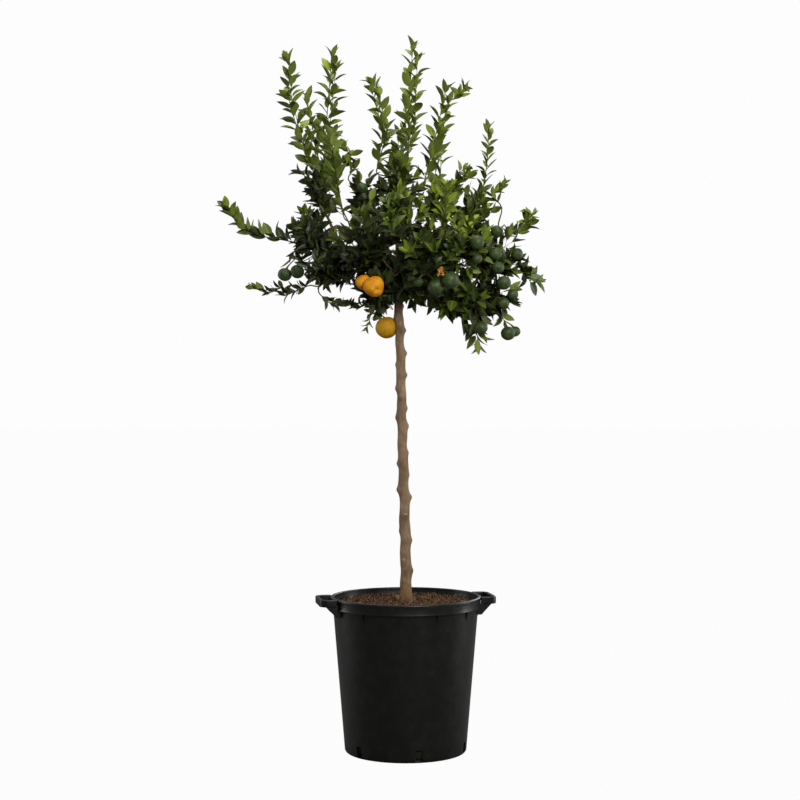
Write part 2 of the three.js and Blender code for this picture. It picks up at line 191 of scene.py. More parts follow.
def bark_mulch_finish(name, light, dark):
    """Composted bark, shredded: fibrous red-brown, matt, each shred mottled in a darker and a lighter brown.
    """
    material, tree, shader = new_finish(name, light, 0.93)
    place = put(tree, "ShaderNodeTexCoord").outputs["Object"]
    # a torn fibre bundle is about 5 mm across
    fibre = put(tree, "ShaderNodeTexNoise", {
        "Vector": place, "Scale": 1 / (5 * MM), "Detail": 5}).outputs["Fac"]
    tree.links.new(tints(tree, fibre, (0.35, dark), (0.65, light)), shader.inputs["Base Color"])
    return material


# leaf greens from the newest growth to the oldest, and from painted light to painted shade: the older a leaf,
# the darker and glossier its wax, and sprays high on the crown's outside get the lighter greens, those deep
# inside the crown the darker ones
LEAF_TONES = {
    "fresh": waxy_leaf("fresh_and_lit_leaf_wax", "7e8f22", 0.5),
    "young": waxy_leaf("young_and_lit_leaf_wax", "6a7b1c", 0.48),
    "mid": waxy_leaf("mid_leaf_wax", "4a5a17", 0.45),
    "mature": waxy_leaf("mature_and_shaded_leaf_wax", "303c12", 0.42),
    "old": waxy_leaf("old_and_shaded_leaf_wax", "20280e", 0.42),
}
# the underside has no wax, and is paler and duller than the face; the midrib is paler still
LEAF_BACK = waxy_leaf("leaf_back_matt", "6c792c", 0.64)
# the darker back and midrib go with the two darkest greens, so they carry painted shade as well as age
LEAF_BACK_OLD_AND_SHADED = waxy_leaf("old_and_shaded_leaf_back_matt", "4a5130", 0.64)
MIDRIB = waxy_leaf("midrib_wax", "8c993a", 0.5)
MIDRIB_OLD_AND_SHADED = waxy_leaf("old_and_shaded_midrib_wax", "4d5a26", 0.46)
# bark: pale on the stem, redder below the graft, bare wood at a fresh cut, dark on boughs, green on twigs
STEM_BARK = bark_finish("stem_bark", "8d745a", "5c4730", "a58d72", 2.4)
FOOT_BARK = bark_finish("graft_bark", "7d5f3f", "523c22", "96754c", 2.4)
CUT_WOOD = bark_finish("cut_wood", "b08a62", "8a6542", "c7a37c", 1.2)
BOUGH_BARK = bark_finish("bough_bark", "67563f", "3c3022", "7a6a50", 2.0)
TWIG_BARK = bark_finish("twig_bark", "55522c", "37351c", "6e6a3e", 1.6)
# rind: glossier while it is green, duller and pitted when it is ripe
GREEN_RIND = rind_finish("green_citrus_rind", "37461f", "2a3718", "4a5c2b", 0.47)
RIPE_RIND = rind_finish("ripe_citrus_rind", "d98e04", "c97802", "e0a30c", 0.62)
TURNING_RIND = rind_finish("turning_citrus_rind", "c9930a", "ac880c", "cf8008", 0.6)
# spent petals have dried to a matt orange-brown, darker at their foot
PETAL = waxy_leaf("dried_petal", "d7953a", 0.7)
PETAL_DARK = waxy_leaf("dried_petal_edge", "8f5522", 0.75)
POT_PLASTIC = moulded_polypropylene()


# ---------------------------------------------------------------- making meshes
class Pile:
    """Many small forms gathered into one mesh, each face with the number of its finish."""

    def __init__(self):
        self.points = []
        self.faces = []
        self.tones = []

    def add(self, points, faces, tone=0):
        """Adds one form, in one finish or with a list of a finish for each face."""
        first = len(self.points)
        self.points.extend(points)
        self.faces.extend([tuple(first + i for i in face) for face in faces])
        if isinstance(tone, int):
            self.tones.extend([tone] * len(faces))
        else:
            self.tones.extend(tone)

    def piece(self, name, finishes, slot, replaced=(), smooth=True):
        """Turns the pile into a named piece, which stands for the solids in replaced."""
        mesh = bpy.data.meshes.new(name)
        mesh.from_pydata([tuple(p) for p in self.points], [], self.faces)
        for finish in finishes:
            mesh.materials.append(finish)
        mesh.polygons.foreach_set("material_index", self.tones)
        mesh.polygons.foreach_set("use_smooth", [smooth] * len(self.faces))
        mesh.update()
        made = bpy.data.objects.new(name, mesh)
        bpy.context.scene.collection.objects.link(made)
        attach(made, "root")
        if replaced:
            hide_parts(*replaced)
        return made


def smooth_line(points, count):
    """A curve through a few points, sampled evenly into count + 1 points (Catmull-Rom)."""
    ends = [points[0] * 2 - points[1], *points, points[-1] * 2 - points[-2]]
    line = []
    spans = len(points) - 1
    for k in range(count + 1):
        at = min(k * spans / count, spans - 1e-9)
        i = int(at)
        t = at - i
        a, b, c, d = ends[i:i + 4]
        line.append(0.5 * ((2 * b) + (c - a) * t + (2 * a - 5 * b + 4 * c - d) * t * t
                           + (3 * b - a - 3 * c + d) * t ** 3))
    return line


def arc(start, heading, end, end_heading, count, pull=0.4):
    """A bent line from one place and heading to another (Bezier)."""
    reach = (end - start).length * pull
    a, b, c, d = start, start + heading * reach, end - end_heading * reach, end
    return [a * (1 - t) ** 3 + b * 3 * t * (1 - t) ** 2 + c * 3 * t * t * (1 - t) + d * t ** 3
            for t in (k / count for k in range(count + 1))]


def round_limb(pile, line, radii, sides, tone=0, relief=None):
    """Adds a closed round limb along a line, with a radius at each point of it."""
    side = None
    points, faces = [], []
    for i, centre in enumerate(line):
        ahead = (line[min(i + 1, len(line) - 1)] - line[max(i - 1, 0)]).normalized()
        if side is None:
            side = ahead.orthogonal().normalized()
        side = (side - ahead * side.dot(ahead)).normalized()
        across = ahead.cross(side)
        for k in range(sides):
            turn = 2 * math.pi * k / sides
            out = side * math.cos(turn) + across * math.sin(turn)
            radius = radii[i]
            if relief:
                radius += relief(centre, out)
            points.append(centre + out * radius)
    for i in range(len(line) - 1):
        for k in range(sides):
            a, b = i * sides + k, i * sides + (k + 1) % sides
            faces.append((a, b, b + sides, a + sides))
    faces.append(tuple(reversed(range(sides))))
    faces.append(tuple((len(line) - 1) * sides + k for k in range(sides)))
    pile.add(points, faces, tone)


def world_points(name):
    """The corners of one solid, in the shared frame."""
    return [v.co.copy() for v in NODES[name].data.vertices]


def spine_of(name, slices, near):
    """Centre line and half width of a long solid, running from its end that is nearest to a point."""
    cloud = np.array([tuple(p) for p in world_points(name)])
    middle = cloud.mean(0)
    chord = np.linalg.svd(cloud - middle, full_matrices=False)[2][0]
    along = (cloud - middle) @ chord
    gaps = [np.linalg.norm(middle + chord * end - near) for end in (along.min(), along.max())]
    if gaps[0] > gaps[1]:
        chord, along = -chord, -along
    edges = np.linspace(along.min(), along.max(), slices + 1)
    line = [Vector(cloud[along.argmin()])]
    for low, high in zip(edges[1:-2], edges[2:-1]):
        band = cloud[(along >= low) & (along <= high)]
        if len(band) > 3:
            line.append(Vector((band.min(0) + band.max(0)) / 2))
    line.append(Vector(cloud[along.argmax()]))
    middle_band = cloud[abs(along - (along.min() + along.max()) / 2) < (along.max() - along.min()) * 0.3]
    flat = middle_band - middle
    flat = flat - np.outer(flat @ chord, chord)
    return line, float(np.median(np.linalg.norm(flat, axis=1)))


# ---------------------------------------------------------------- where fruit hangs
# Each fruit: the solid it hangs in, its place as shares of that solid's box, diameter in mm, and rind.
FRUITS = [
    ("shoot_left_hanging", (0.24, 0.36, 0.13), 35, "green"),
    ("shoot_left_hanging", (0.85, 0.06, 0.20), 35, "green"),
    ("mass_stem_front", (0.02, 0.11, 0.35), 38, "ripe"),
    ("mass_stem_front", (0.23, -0.11, 0.22), 51, "ripe"),
    ("shoot_low_left", (0.65, 0.33, 0.45), 57, "turning"),
    ("mass_front_lower", (0.67, 0.52, -0.08), 42, "green"),
    ("mass_front_lower", (0.88, 0.39, 0.02), 44, "green"),
    ("mass_front_lower", (0.40, 0.43, -0.01), 24, "green"),
    ("mass_right_front", (0.64, 0.20, 0.52), 36, "green"),
    ("mass_right_middle", (0.47, 0.15, 0.81), 31, "green"),
    ("mass_right_middle", (0.43, 0.03, 0.42), 35, "green"),
    ("mass_right_middle", (0.89, 0.33, 0.44), 30, "green"),
    ("mass_right_middle", (0.48, 0.00, 0.18), 32, "green"),
    ("mass_right_lower", (0.79, 0.13, 0.68), 35, "green"),
    ("mass_right_lower", (0.91, 0.31, 0.46), 28, "green"),
    ("mass_right_lower", (0.79, 0.25, 0.28), 30, "green"),
    ("shoot_low_right", (0.71, 0.04, 0.58), 32, "green"),
    ("shoot_low_outer", (0.63, 0.16, 0.25), 36, "green"),
    ("shoot_low_outer", (0.99, 0.63, 0.31), 27, "green"),
    ("mass_right_front", (0.64, 0.27, 0.25), 26, "green"),
    ("mass_left_upper", (1.1, 0.31, 0.86), 28, "green"),
    ("mass_left_inner_upper", (0.48, -0.05, 0.61), 26, "green"),
    ("mass_back_upper", (0.14, 0.86, 0.39), 32, "green"),
    ("mass_back_lower", (0.74, 0.95, 0.35), 36, "green"),
    ("mass_left_back", (0.28, 0.92, 0.29), 40, "ripe"),
    ("mass_right_back", (0.64, 0.86, 0.06), 30, "green"),
]
BLOSSOM = ("mass_front_lower", (0.73, 0.22, 0.16), 20)  # a dried cluster between the two large front fruits


def spot_in(node, share):
    """A place given as shares of a solid's box."""
    low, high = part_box(node)
    return Vector(low[k] + (high[k] - low[k]) * share[k] for k in range(3))


OPEN_SPOTS = [(spot_in(node, share), size * MM / 2) for node, share, size, *_ in [*FRUITS, BLOSSOM]]
OPEN_DEPTH = 110 * MM  # no leaf hangs this near in front of a fruit
BACK_FRUIT_Y = 60 * MM  # fruit further back than this is seen from behind, and kept open on that side
LEAF_CLEARANCE = 4 * MM
# Where the sky shows through the crown from the front: centre across and up, half width and height, in mm.
SKY_GAPS = [
    (-156, 1392, 9, 40), (-141, 1325, 11, 24), (-127, 1276, 7, 14), (20, 1342, 9, 30),
    (-103, 1448, 12, 30), (114, 1462, 12, 30), (141, 1374, 11, 20), (143, 1219, 16, 12),
    (77, 1306, 8, 9), (254, 1268, 18, 14), (243, 1148, 9, 11), (172, 1118, 7, 12),
    (-238, 1240, 6, 16), (232, 1330, 20, 20),
]
UNDER_WHIP = (-106, 1088, 40, 40)  # only the lowest whip's own leaves hang here


def from_front(point):
    """Where a place falls on the upright plane through the stem, as looked at from the front."""
    nearer = VIEW_FROM.y / (VIEW_FROM.y - point.y)
    return VIEW_FROM.x + (point.x - VIEW_FROM.x) * nearer, VIEW_FROM.z + (point.z - VIEW_FROM.z) * nearer


def in_gap(point, gaps=SKY_GAPS):
    """Whether something there would close a gap of sky in the crown."""
    across, up = from_front(point)
    return any(((across / MM - gap_x) / half_x) ** 2 + ((up / MM - gap_z) / half_z) ** 2 < 1
               for gap_x, gap_z, half_x, half_z in gaps)


def kept_open(point):
    """Whether a leaf there would run into a fruit, hang just in front of one, or close a gap in the crown."""
    if in_gap(point):
        return True
    for centre, radius in OPEN_SPOTS:
        if (point - centre).length < radius + LEAF_CLEARANCE:
            return True
        ahead = (centre.y - point.y) * (1 if centre.y < BACK_FRUIT_Y else -1)
        aside = math.hypot(point.x - centre.x, point.z - centre.z)
        if 0 < ahead < OPEN_DEPTH and aside < radius * 1.05:
            return True
    return False


# ---------------------------------------------------------------- leaves
FACE, BACK, RIB = range(3)  # the finishes of one leaf
# The blade's outline as shares of its length and of its width, with a short stalk at the foot.
BLADE = ((0.0, 0.05), (0.09, 0.09), (0.2, 0.62), (0.36, 0.96),
         (0.54, 1.0), (0.72, 0.78), (0.88, 0.4), (1.0, 0.02))


def leaf_form(fold, curl):
    """A citrus blade of unit length along X, face up: folded on its midrib, with its tip curled down."""
    slim = LEAF_WIDTH / LEAF_LENGTH
    rib = MIDRIB_WIDTH / LEAF_LENGTH
    face, back = [], []
    x = z = last = 0.0
    for along, width in BLADE:
        droop = -curl * ((along + last) / 2) ** 1.3
        x += (along - last) * math.cos(droop)
        z += (along - last) * math.sin(droop)
        last = along
        half = width * slim / 2
        rib_half = min(rib / 2 * (1.2 - along), half * 0.6)
        edge_y, edge_z = half * math.cos(fold), half * math.sin(fold)
        face += [(x, -edge_y, z + edge_z), (x, -rib_half, z), (x, rib_half, z), (x, edge_y, z + edge_z)]
        under = z - LEAF_THICKNESS / LEAF_LENGTH
        back += [(x, -edge_y, under + edge_z), (x, 0.0, under), (x, edge_y, under + edge_z)]
    faces, tones = [], []
    rows = len(BLADE)
    for i in range(rows - 1):
        for j, tone in enumerate((FACE, RIB, FACE)):
            a = i * 4 + j
            faces.append((a + 1, a, a + 4, a + 5)[::-1])
            tones.append(tone)
        for j in (0, 1):
            a = rows * 4 + i * 3 + j
            faces.append((a, a + 1, a + 4, a + 3)[::-1])
            tones.append(BACK)
    return np.array(face + back), faces, tones


LEAF_FORMS = [leaf_form(math.radians(fold), curl) for fold in (12, 24, 36) for curl in (0.1, 0.35, 0.7)]
leaf_piles = {tone: Pile() for tone in LEAF_TONES}


def grow_leaf(foot, heading, facing, length, tone):
    """Sets one leaf on a stem, its blade along heading and its face towards facing."""
    if any(kept_open(foot + heading * length * share) for share in (0.3, 0.6, 0.95)):
        return
    width_way = facing.cross(heading)
    if width_way.length < 1e-4:
        width_way = heading.orthogonal()
    width_way.normalize()
    up = heading.cross(width_way).normalized()
    form, faces, tones = rng.choice(LEAF_FORMS)
    turn = np.array([heading, width_way, up])
    placed = (form * (length, length * rng.uniform(0.88, 1.15), length)) @ turn + np.array(foot)
    leaf_piles[tone].add(placed.tolist(), faces, tones)


def leafy_stem(line, first, length, tone_at, droop, lean, spacing):
    """Leaves set round a stem from a share of its length up: small and steep at the tip, wider lower down."""
    steps = [(b - a).length for a, b in zip(line, line[1:])]
    total = sum(steps)
    at = total * first
    turn = rng.uniform(0, 2 * math.pi)
    while at < total:
        rest = at
        i = 0
        while i < len(steps) - 1 and rest > steps[i]:
            rest -= steps[i]
            i += 1
        here = line[i].lerp(line[i + 1], min(1, rest / max(steps[i], 1e-9)))
        ahead = (line[i + 1] - line[i]).normalized()
        side = ahead.orthogonal().normalized()
        out = Matrix.Rotation(turn, 3, ahead) @ side
        share = at / total
        angle = math.radians(lean * (1.08 - 0.4 * share ** 4)) + rng.uniform(-0.16, 0.16)
        level = 1 - abs(ahead.z)
        # on a level stem the leaves lift to the light and show their faces sideways
        lift = Vector((0, 0, 0.75 * level - droop))
        heading = (ahead * math.cos(angle) + out * math.sin(angle) + lift).normalized()
        aside = Vector((ahead.y, -ahead.x, 0)) * (1 if ahead.x > 0 else -1)
        face_up = ahead * math.sin(angle) - out * math.cos(angle) + aside * level + Vector((0, 0, 0.35))
        facing = Matrix.Rotation(rng.uniform(-0.9, 0.9), 3, heading) @ face_up
        size = length * (1 - 0.22 * share ** 5) * rng.uniform(0.84, 1.1)
        grow_leaf(here, heading, facing, size, tone_at(share))
        turn += LEAF_TURN + rng.uniform(-0.25, 0.25)
        at += spacing * rng.uniform(0.8, 1.2)
    for k in range(3):  # three small leaves close the tip
        out = Matrix.Rotation(turn + k * LEAF_TURN, 3, ahead) @ side
        grow_leaf(line[-1], (ahead + out * 0.4).normalized(), ahead - out, length * rng.uniform(0.62, 0.9),
                  tone_at(1.0))


# ---------------------------------------------------------------- where foliage grows
# steps from dark to light: age, and painted shade deep in the crown and painted light at its top and outside
TONE_LADDER = ("old", "mature", "mid", "young", "fresh")
FRESH_PLACE = Vector((120, -150, 1340)) * MM  # the middle of the newest growth
FRESH_REACH = 120 * MM
HANGING_TOP = 1140 * MM  # below this the right side's sprays hang
SMALLEST_LEAF = 31 * MM
LEVEL_RISE = 100 * MM  # a shoot that rises or falls less than this counts as level
TALL_RISE = 120 * MM  # and one that rises more than this as upright
CROWN_MIDDLE = 300 * MM  # height above the fork at which the crown is in full light
SPRAY_TRIES = 14
UP = Vector((0, 0, 1))
heart = Vector(((TRUNK_LOW.x + TRUNK_HIGH.x) / 2, 0, TRUNK_HIGH.z))
mass_trees = {}
for mass_name in MASS_NAMES:
    shape = NODES[mass_name].data
    mass_trees[mass_name] = BVHTree.FromPolygons([v.co for v in shape.vertices],
                                                 [tuple(p.vertices) for p in shape.polygons])


def crowding(point, outward, own):
    """How much foliage stands in front of a place on a mass: 0 on the crown's outside, 1 deep inside it."""
    inside = 0
    reaches = (20 * MM, 60 * MM, 110 * MM)
    for reach in reaches:
        probe = point + outward * reach
        for name, tree in mass_trees.items():
            hit, normal, _, _ = tree.find_nearest(probe)
            if name != own and (probe - hit).dot(normal) < 0:
                inside += 1
                break
    return inside / len(reaches)


class Tip:
    """A leafy stem that ends a twig: its line, where its leaves start, and their size, tone and set."""

    def __init__(self, line, length, first, tone_at, droop=0.0, lean=50.0,
                 spacing=INTERNODE, wood=TWIG_RADIUS):
        self.line = line
        self.place = line[0]
        self.heading = (line[1] - line[0]).normalized()
        self.length = length
        self.first = first
        self.tone_at = tone_at
        self.droop = droop
        self.lean = lean
        self.spacing = spacing
        self.wood = wood

    def set_leaves(self):
        leafy_stem(self.line, self.first, self.length, self.tone_at, self.droop, self.lean, self.spacing)


def tone_of(step):
    """The leaf tone at a step of the ladder from old to fresh."""
    return TONE_LADDER[max(0, min(len(TONE_LADDER) - 1, step))]


def spray_tones(light):
    """Picks a spray's greens by how much light reaches it, one tone for most of the spray."""
    level = max(0, min(3, round(light + rng.gauss(0, 0.55))))

    def tone_at(share):
        newer = 1 if share > 0.82 and rng.random() < 0.7 else 0
        older = 1 if rng.random() < 0.12 else 0
        return tone_of(level + newer - older)

    return tone_at


def growth_and_sheen_at(place):
    """How much lighter the leaves are for their place: new growth gathers at the front right, the greens
    darken towards the left, and the low right's hanging leaves get a painted sheen.
    """
    fresh = math.exp(-((place - FRESH_PLACE).length / FRESH_REACH) ** 2)
    # painted sheen: the hanging leaves low on the right get lighter greens
    hanging = 0.45 if place.z < HANGING_TOP + 20 * MM and place.x > 40 * MM else 0
    to_right = max(-0.22, min(0.06, place.x + 0.02))
    return 1.6 * fresh + 2.2 * to_right + hanging


def sprays_on(name):
    """Short leafy sprays spread over one mass, growing out and up, their tips just inside its skin."""
    shape = NODES[name].data
    shape.calc_loop_triangles()
    corners = [[shape.vertices[i].co for i in t.vertices] for t in shape.loop_triangles]
    areas = [((b - a).cross(c - a)).length / 2 for a, b, c in corners]
    spacing = SPRAY_SPACING * (0.85 if name == "mass_right_lower" else 1)
    wanted = max(5, round(sum(areas) / spacing ** 2))
    taken = []
    made = []
    for _ in range(wanted * SPRAY_TRIES):
        if len(taken) >= wanted:
            break
        a, b, c = rng.choices(corners, areas)[0]
        u, v = sorted((rng.random(), rng.random()))
        skin = a * u + b * (v - u) + c * (1 - v)
        if any((skin - other).length < spacing * 0.8 for other in taken):
            continue
        taken.append(skin)
        outward = (b - a).cross(c - a).normalized()
        hidden = crowding(skin, outward, name)
        if rng.random() < hidden * 0.42:
            continue
        away = (skin - heart).normalized()
        wander = Vector((rng.gauss(0, 1), rng.gauss(0, 1), rng.gauss(0, 1))) * 0.28
        heading = (outward * 0.75 + away * 0.45 + UP * 0.55 + wander).normalized()
        reach = SPRAY_LENGTH * rng.uniform(0.75, 1.2)
        tip = skin - outward * rng.uniform(8, 20) * MM
        foot_heading = (heading + away * 0.5 - UP * 0.3).normalized()
        foot = tip - (heading + foot_heading).normalized() * reach
        foot.z = max(foot.z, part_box(name)[0].z + 16 * MM)
        line = arc(foot, foot_heading, tip, heading, 6)
        if in_gap(foot) or in_gap(line[3]) or in_gap(tip, [UNDER_WHIP]):
            continue
        # painted light and shade: a spray's greens lighten the higher it stands and the more it faces up, and
        # darken the deeper it lies in the crown
        height = max(-0.3, min(1, (skin.z - heart.z) / CROWN_MIDDLE))
        light = 0.25 + 1.05 * height + 0.9 * max(0, outward.z) - 1.1 * hidden + growth_and_sheen_at(skin)
        hanging = name == "mass_right_lower" and skin.z < HANGING_TOP
        droop = 0.6 if hanging else 0.25 if outward.z < -0.3 else 0.05
        length = LEAF_LENGTH * rng.uniform(0.8, 1.05) * (1.15 if hanging else 1)
        made.append(Tip(line, length, 0.12, spray_tones(light), droop=droop))
    return made


def mass_beside(name):
    """The middle of the mass nearest to a shoot."""
    middles = [spot_in(mass, (0.5, 0.5, 0.5)) for mass in MASS_NAMES]
    own = spot_in(name, (0.5, 0.5, 0.5))
    return min(middles, key=lambda place: (place - own).length)


def long_shoot(name):
    """A young shoot along its own solid, and beside a wide one a second, shorter stem."""
    line, half_width = spine_of(name, 7, mass_beside(name))
    line[0] = line[1] + (line[1] - line[2]) * 0.7
    length = min(LEAF_LENGTH, max(SMALLEST_LEAF, half_width * 1.75))
    lean = math.degrees(math.asin(min(0.72, half_width * 1.1 / length)))
    reach = (line[-1] - line[-2]).length
    rising = line[-1].z - line[0].z > TALL_RISE
    line[-1] = line[-1] + (line[-2] - line[-1]) * min(0.9, (0.72 if rising else 0.95) * length / reach)
    line = smooth_line(line, 18)
    while len(line) > 8 and any((line[-1] - centre).length < radius + 16 * MM
                                for centre, radius in OPEN_SPOTS):
        line.pop()
    # painted top light as well as newer growth: a shoot's greens lighten the higher it reaches
    rise = (line[-1].z - heart.z) / (solid_box[1].z - heart.z)
    base = 1.5 + 1.8 * rise + 0.8 * growth_and_sheen_at(line[-1])

    def tone_at(share):
        return tone_of(round(base + 1.2 * (share - 0.5) + rng.gauss(0, 0.45)))

    closer = 0.68 if abs(line[-1].z - line[0].z) < LEVEL_RISE else 1
    stem = Tip(line, length, 0.02, tone_at, lean=lean, spacing=length * 0.21 * closer, wood=1.6 * MM)
    if half_width < 26 * MM or line[-1].z - line[0].z < TALL_RISE:
        return [stem]
    count = round(len(line) * rng.uniform(0.66, 0.84))
    turn = rng.uniform(0, 2 * math.pi)
    aside = Vector((math.cos(turn), math.sin(turn), 0)) * 15 * MM
    beside = [p + aside * min(1, k / 6) for k, p in enumerate(line[2:count])]
    return [stem, Tip(beside, length * 0.92, 0.05, tone_at, lean=lean, spacing=length * 0.23, wood=1.3 * MM)]


tips = []
for mass_name in MASS_NAMES:
    tips.extend(sprays_on(mass_name))
# Small twigs left of the stem's head, over the turning fruit: start, end (mm) and leaf length in mm.
LOW_TWIGS = [
    ((-30, -8, 1134), (-58, -16, 1096), 40), ((-34, 20, 1130), (-66, 22, 1094), 40),
    ((-28, -22, 1150), (-74, -30, 1112), 38), ((-60, -8, 1106), (-122, -22, 1110), 27),
    ((-70, -12, 1102), (-96, -16, 1060), 27),
]
young_stems = []
for start, end, size in LOW_TWIGS:
    start, end = Vector(start) * MM, Vector(end) * MM
    line = arc(start, Vector((-0.8, -0.2, 0.4)).normalized(), end, (end - start).normalized(), 6)
    young_stems.append(Tip(line, size * MM, 0.15, spray_tones(0.9), droop=0.2, spacing=size * 0.19 * MM))
for shoot_name in SHOOT_NAMES:
    young_stems.extend(long_shoot(shoot_name))
young_stems.sort(key=lambda shoot: shoot.place.z)
# A collar of old leaves hangs round the head of the stem, thickest at the front: turns in degrees from +X.
for turn in (195, 232, 262, 292, 330, 20, 80, 140):
    out = Vector((math.cos(math.radians(turn)), math.sin(math.radians(turn)), 0))
    foot = heart + out * 8 * MM - UP * rng.uniform(2, 12) * MM
    tip = foot + out * rng.uniform(26, 38) * MM - UP * rng.uniform(14, 24) * MM
    line = arc(foot, (out + UP * 0.5).normalized(), tip, (out - UP * 1.2).normalized(), 6)
    tips.append(Tip(line, LEAF_LENGTH * rng.uniform(0.85, 1.05), 0.2, spray_tones(0.6), droop=0.8))

# ---------------------------------------------------------------- boughs and twigs
THIN_WOOD = 2.6 * MM  # wood up to this radius is a twig, and above it a bough
ENTRY_RADIUS = 6.5 * MM  # the least radius of a bough where it leaves the stem
bough_pile = Pile()
twig_pile = Pile()
twig_places = []


def wood_relief(centre, out):
    """Fine ridges of young bark."""
    spot = centre + out * 0.006
    return 0.35 * MM * noise.noise(Vector((spot.x * 260, spot.y * 260, spot.z * 60)))


def grow_wood(start, heading, ends, depth=0):
    """Branches from a place to all its tips, forking in two each time; returns the wood's radius there."""
    if len(ends) == 1:
        tip = ends[0]
        line = arc(start, heading, tip.place, tip.heading, 6)
        whole = line + tip.line[1:]
        count = len(whole) - 1
        radii = [tip.wood * (1.15 - 0.75 * k / count) for k in range(count + 1)]
        round_limb(twig_pile, whole, radii, 6)
        twig_places.extend(whole)
        tip.set_leaves()
        return tip.wood * 1.15
    middle = sum((tip.place for tip in ends), Vector()) / len(ends)
    cloud = np.array([tuple(tip.place - middle) for tip in ends])
    widest = Vector(np.linalg.svd(cloud, full_matrices=False)[2][0])
    ordered = sorted(ends, key=lambda tip: tip.place.dot(widest))
    cut = max(1, min(len(ends) - 1, round(len(ends) * rng.uniform(0.38, 0.62))))
    toward = middle - start
    reach = toward.length * (0.5 if depth else 0.3)
    aim = (toward.normalized() + heading * 0.5).normalized() if toward.length > 1e-6 else heading
    fork = start + (toward.normalized() * 0.8 + heading * 0.35).normalized() * reach
    first = grow_wood(fork, aim, ordered[:cut], depth + 1)
    second = grow_wood(fork, aim, ordered[cut:], depth + 1)
    radius = (first ** PIPE_POWER + second ** PIPE_POWER) ** (1 / PIPE_POWER)
    line = arc(start, heading, fork, aim, 5)
    radii = [radius * (1.08 - 0.1 * k / 5) for k in range(6)]
    if radius > THIN_WOOD:
        round_limb(bough_pile, line, radii, 12, relief=wood_relief)
    else:
        round_limb(twig_pile, line, radii, 8)
    twig_places.extend(line)
    return radius


bough_lines = {name: smooth_line(spine_of(name, 5, heart)[0], 10) for name in BOUGH_NAMES}
fork_ends = {name: [] for name in BOUGH_NAMES}
fork_ends["fork"] = []


def distance_to(name, place):
    """How far a twig would reach from the end of a bough, or from the fork, which is picked less readily."""
    if name == "fork":
        return (place - heart).length * 1.15
    return (place - bough_lines[name][-1]).length


for tip in tips:
    fork_ends[min(fork_ends, key=lambda name: distance_to(name, tip.place))].append(tip)
for name, line in bough_lines.items():
    if not fork_ends[name]:
        continue
    ahead = (line[-1] - line[-2]).normalized()
    radius = grow_wood(line[-1], ahead, fork_ends[name])
    foot = max(radius * 1.25, ENTRY_RADIUS)
    rooted = [heart.lerp(line[0], 0.3)] + line
    count = len(rooted) - 1
    round_limb(bough_pile, rooted, [foot + (radius - foot) * k / count for k in range(count + 1)], 16,
               relief=wood_relief)
left = [tip for tip in fork_ends["fork"] if tip.place.x < heart.x]
right = [tip for tip in fork_ends["fork"] if tip.place.x >= heart.x]
for group, way in ((left, -1), (right, 1)):
    if group:
        grow_wood(heart - UP * 12 * MM, Vector((way * 0.7, 0, 0.6)).normalized(), group)
# each young shoot springs from the nearest older wood behind it
for shoot in young_stems:
    behind = [p for p in twig_places if (p - shoot.place).dot(shoot.heading) < -8 * MM]
    grow_wood(min(behind, key=lambda p: (p - shoot.place).length), shoot.heading, [shoot])


# ---------------------------------------------------------------- the stem
# Old pruning cuts up the stem: height above the soil in mm, turn in degrees from +X, and swelling in mm.
KNOTS = [
    (80, 8, 3.6), (104, 252, 2.6), (156, -12, 3.2), (180, 168, 2.6), (204, 80, 3.4), (220, 281, 3.0),
    (263, 4, 5.2), (284, 186, 4.6), (320, -20, 2.4), (349, 176, 4.4), (374, 14, 3.8), (405, 96, 3.6),
    (441, 6, 4.4), (463, 190, 3.6), (486, -8, 3.8), (512, 262, 2.6), (536, 178, 4.2), (569, 2, 5.4),
    (594, 172, 3.6), (622, -6, 5.6), (650, 110, 3.4), (680, 12, 5.0), (712, 192, 3.8), (740, -14, 4.0),
]
FRESH_CUTS = (1, 5)  # the two cuts at the front whose pale wood still shows
STEM, CUT, ROOTSTOCK = range(3)  # the finishes of the stem
GRAFT_HEIGHT = 52 * MM  # the redder bark of the rootstock ends here


def stem_relief(centre, out):
    """Long bark ridges, a pointed swelling at each old pruning cut, the graft's bulge and a flared foot."""
    height = centre.z - TRUNK_LOW.z
    spot = centre + out * 0.012
    ridges = 0.45 * MM * noise.noise(Vector((spot.x * 190, spot.y * 190, spot.z * 24)))
    ridges += 0.25 * MM * noise.noise(Vector((spot.x * 420, spot.y * 420, spot.z * 95)))
    ridges += 0.8 * MM * noise.noise(Vector((out.x, out.y, centre.z * 22)))
    for level, turn, swell in KNOTS:
        off = height - level * MM
        if abs(off) > 24 * MM:
            continue
        side = Vector((math.cos(math.radians(turn)), math.sin(math.radians(turn)), 0))
        facing = max(0.0, out.dot(side))
        ridges += swell * MM * 0.6 * facing ** 3 * math.exp(-(off / (12 * MM)) ** 2)
        ridges += swell * MM * 0.55 * facing ** 6 * math.exp(-(off / (6 * MM)) ** 2)
    flare = math.exp(-height / (20 * MM))
    ridges += flare * 1.2 * MM * math.sin(math.atan2(out.y, out.x) * 5 + 0.8)
    graft = math.exp(-((height - 14 * MM) / (12 * MM)) ** 2)
    ridges += graft * 1.3 * MM * (0.6 + 0.4 * out.x)
    return ridges


def stem_line():
    """Centre and radius of the trunk at each height, from the rings of its solid."""
    levels = {}
    for p in world_points("trunk"):
        levels.setdefault(round(p.z, 4), []).append(p)
    centres, radii = [], []
    for z, ring in sorted(levels.items()):
        if len(ring) > 5:
            middle = Vector(((max(p.x for p in ring) + min(p.x for p in ring)) / 2,
                             (max(p.y for p in ring) + min(p.y for p in ring)) / 2, z))
            centres.append(middle)
            radii.append(min((p - middle).length for p in ring if (p - middle).length > 4 * MM))
    return centres, radii


